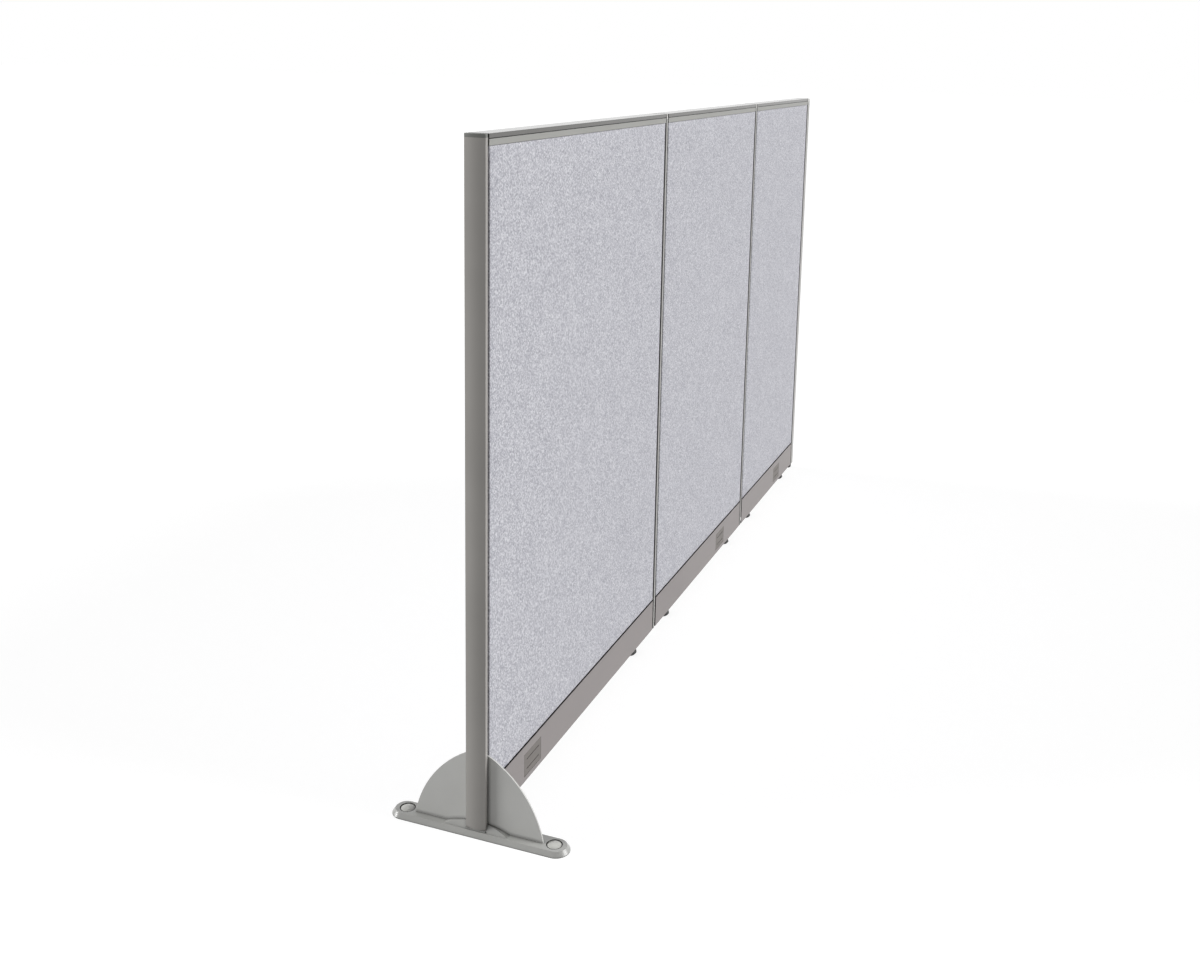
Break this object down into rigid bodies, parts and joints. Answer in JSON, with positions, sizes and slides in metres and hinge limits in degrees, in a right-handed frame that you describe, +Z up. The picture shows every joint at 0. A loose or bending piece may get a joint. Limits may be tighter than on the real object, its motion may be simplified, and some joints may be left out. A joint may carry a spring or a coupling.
{
  "type": "cubicle panel",
  "caption": "Straight run of fabric-faced office panels with a T foot, levelling glides, a cable raceway behind pull-off kick covers, and a wall channel.",
  "frame": {"origin": "on the floor, under the middle of the run", "axes": "+X along the run towards the wall end, -Y out of the pictured face, +Z up"},
  "size_m": [2.786, 0.43, 1.524],
  "materials": {
    "panel_fabric": "flecked woven fabric",
    "trim_paint": "satin silver paint",
    "frame_paint": "black powder coat",
    "kick_paint": "satin warm grey paint",
    "blank_plastic": "moulded",
    "fibreboard": "raw fibreboard",
    "light_cap_plastic": "moulded",
    "dark_cap_plastic": "moulded",
    "glide_plastic": "moulded",
    "foot_paint": "satin silver paint",
    "plug_plastic": "moulded",
    "foot_rubber": "moulded",
    "zinc_steel": "zinc plated"
  },
  "bodies": {
    "run": {"near_panel_near_stile": "frame_paint", "near_panel_far_stile": "frame_paint", "near_panel_top_rail": "trim_paint", "near_panel_bottom_rail": "frame_paint", "near_panel_core_board": "fibreboard", "near_panel_top_trim": "trim_paint", "near_panel_legs": "frame_paint", "near_panel_front_pad": "panel_fabric", "near_panel_back_pad": "panel_fabric", "middle_panel_near_stile": "frame_paint", "middle_panel_far_stile": "frame_paint", "middle_panel_top_rail": "trim_paint", "middle_panel_bottom_rail": "frame_paint", "middle_panel_core_board": "fibreboard", "middle_panel_top_trim": "trim_paint", "middle_panel_legs": "frame_paint", "middle_panel_front_pad": "panel_fabric", "middle_panel_back_pad": "panel_fabric", "far_panel_near_stile": "frame_paint", "far_panel_far_stile": "frame_paint", "far_panel_top_rail": "trim_paint", "far_panel_bottom_rail": "frame_paint", "far_panel_core_board": "fibreboard", "far_panel_top_trim": "trim_paint", "far_panel_legs": "frame_paint", "far_panel_front_pad": "panel_fabric", "far_panel_back_pad": "panel_fabric", "first_connector_strip": "trim_paint", "second_connector_strip": "trim_paint", "first_connector_cap": "light_cap_plastic", "second_connector_cap": "light_cap_plastic", "end_trim": "trim_paint", "end_trim_cap": "dark_cap_plastic", "wall_channel": "trim_paint", "wall_channel_cap": "light_cap_plastic", "wall_channel_foot": "foot_rubber", "foot_base": "foot_paint", "foot_plate": "foot_paint", "foot_plugs": "plug_plastic", "foot_plate_screws": "zinc_steel", "frame_screws": "zinc_steel", "glide_inserts": "zinc_steel"},
    "near_panel_front_kick_cover": {"near_panel_front_kick_cover": "kick_paint"},
    "near_panel_front_outlet_blank": {"near_panel_front_outlet_blank": "blank_plastic"},
    "near_panel_back_kick_cover": {"near_panel_back_kick_cover": "kick_paint"},
    "near_panel_back_outlet_blank": {"near_panel_back_outlet_blank": "blank_plastic"},
    "near_panel_near_glide": {"near_panel_near_glide": "glide_plastic"},
    "near_panel_far_glide": {"near_panel_far_glide": "glide_plastic"},
    "middle_panel_front_kick_cover": {"middle_panel_front_kick_cover": "kick_paint"},
    "middle_panel_front_outlet_blank": {"middle_panel_front_outlet_blank": "blank_plastic"},
    "middle_panel_back_kick_cover": {"middle_panel_back_kick_cover": "kick_paint"},
    "middle_panel_back_outlet_blank": {"middle_panel_back_outlet_blank": "blank_plastic"},
    "middle_panel_near_glide": {"middle_panel_near_glide": "glide_plastic"},
    "middle_panel_far_glide": {"middle_panel_far_glide": "glide_plastic"},
    "far_panel_front_kick_cover": {"far_panel_front_kick_cover": "kick_paint"},
    "far_panel_front_outlet_blank": {"far_panel_front_outlet_blank": "blank_plastic"},
    "far_panel_back_kick_cover": {"far_panel_back_kick_cover": "kick_paint"},
    "far_panel_back_outlet_blank": {"far_panel_back_outlet_blank": "blank_plastic"},
    "far_panel_near_glide": {"far_panel_near_glide": "glide_plastic"},
    "far_panel_far_glide": {"far_panel_far_glide": "glide_plastic"}
  },
  "joints": [
    {"name": "near_panel_front_kick_cover_slide", "type": "slide", "parent": "run", "child": "near_panel_front_kick_cover", "axis": [0, -1, 0], "range_m": [0, 0.06]},
    {"name": "near_panel_front_outlet_blank_slide", "type": "slide", "parent": "near_panel_front_kick_cover", "child": "near_panel_front_outlet_blank", "axis": [0, -1, 0], "range_m": [0, 0.03]},
    {"name": "near_panel_back_kick_cover_slide", "type": "slide", "parent": "run", "child": "near_panel_back_kick_cover", "axis": [0, 1, 0], "range_m": [0, 0.06]},
    {"name": "near_panel_back_outlet_blank_slide", "type": "slide", "parent": "near_panel_back_kick_cover", "child": "near_panel_back_outlet_blank", "axis": [0, 1, 0], "range_m": [0, 0.03]},
    {"name": "near_panel_near_glide_travel", "type": "slide", "parent": "run", "child": "near_panel_near_glide", "axis": [0, 0, -1], "range_m": [0, 0.02]},
    {"name": "near_panel_far_glide_travel", "type": "slide", "parent": "run", "child": "near_panel_far_glide", "axis": [0, 0, -1], "range_m": [0, 0.02]},
    {"name": "middle_panel_front_kick_cover_slide", "type": "slide", "parent": "run", "child": "middle_panel_front_kick_cover", "axis": [0, -1, 0], "range_m": [0, 0.06]},
    {"name": "middle_panel_front_outlet_blank_slide", "type": "slide", "parent": "middle_panel_front_kick_cover", "child": "middle_panel_front_outlet_blank", "axis": [0, -1, 0], "range_m": [0, 0.03]},
    {"name": "middle_panel_back_kick_cover_slide", "type": "slide", "parent": "run", "child": "middle_panel_back_kick_cover", "axis": [0, 1, 0], "range_m": [0, 0.06]},
    {"name": "middle_panel_back_outlet_blank_slide", "type": "slide", "parent": "middle_panel_back_kick_cover", "child": "middle_panel_back_outlet_blank", "axis": [0, 1, 0], "range_m": [0, 0.03]},
    {"name": "middle_panel_near_glide_travel", "type": "slide", "parent": "run", "child": "middle_panel_near_glide", "axis": [0, 0, -1], "range_m": [0, 0.02]},
    {"name": "middle_panel_far_glide_travel", "type": "slide", "parent": "run", "child": "middle_panel_far_glide", "axis": [0, 0, -1], "range_m": [0, 0.02]},
    {"name": "far_panel_front_kick_cover_slide", "type": "slide", "parent": "run", "child": "far_panel_front_kick_cover", "axis": [0, -1, 0], "range_m": [0, 0.06]},
    {"name": "far_panel_front_outlet_blank_slide", "type": "slide", "parent": "far_panel_front_kick_cover", "child": "far_panel_front_outlet_blank", "axis": [0, -1, 0], "range_m": [0, 0.03]},
    {"name": "far_panel_back_kick_cover_slide", "type": "slide", "parent": "run", "child": "far_panel_back_kick_cover", "axis": [0, 1, 0], "range_m": [0, 0.06]},
    {"name": "far_panel_back_outlet_blank_slide", "type": "slide", "parent": "far_panel_back_kick_cover", "child": "far_panel_back_outlet_blank", "axis": [0, 1, 0], "range_m": [0, 0.03]},
    {"name": "far_panel_near_glide_travel", "type": "slide", "parent": "run", "child": "far_panel_near_glide", "axis": [0, 0, -1], "range_m": [0, 0.02]},
    {"name": "far_panel_far_glide_travel", "type": "slide", "parent": "run", "child": "far_panel_far_glide", "axis": [0, 0, -1], "range_m": [0, 0.02]}
  ]
}
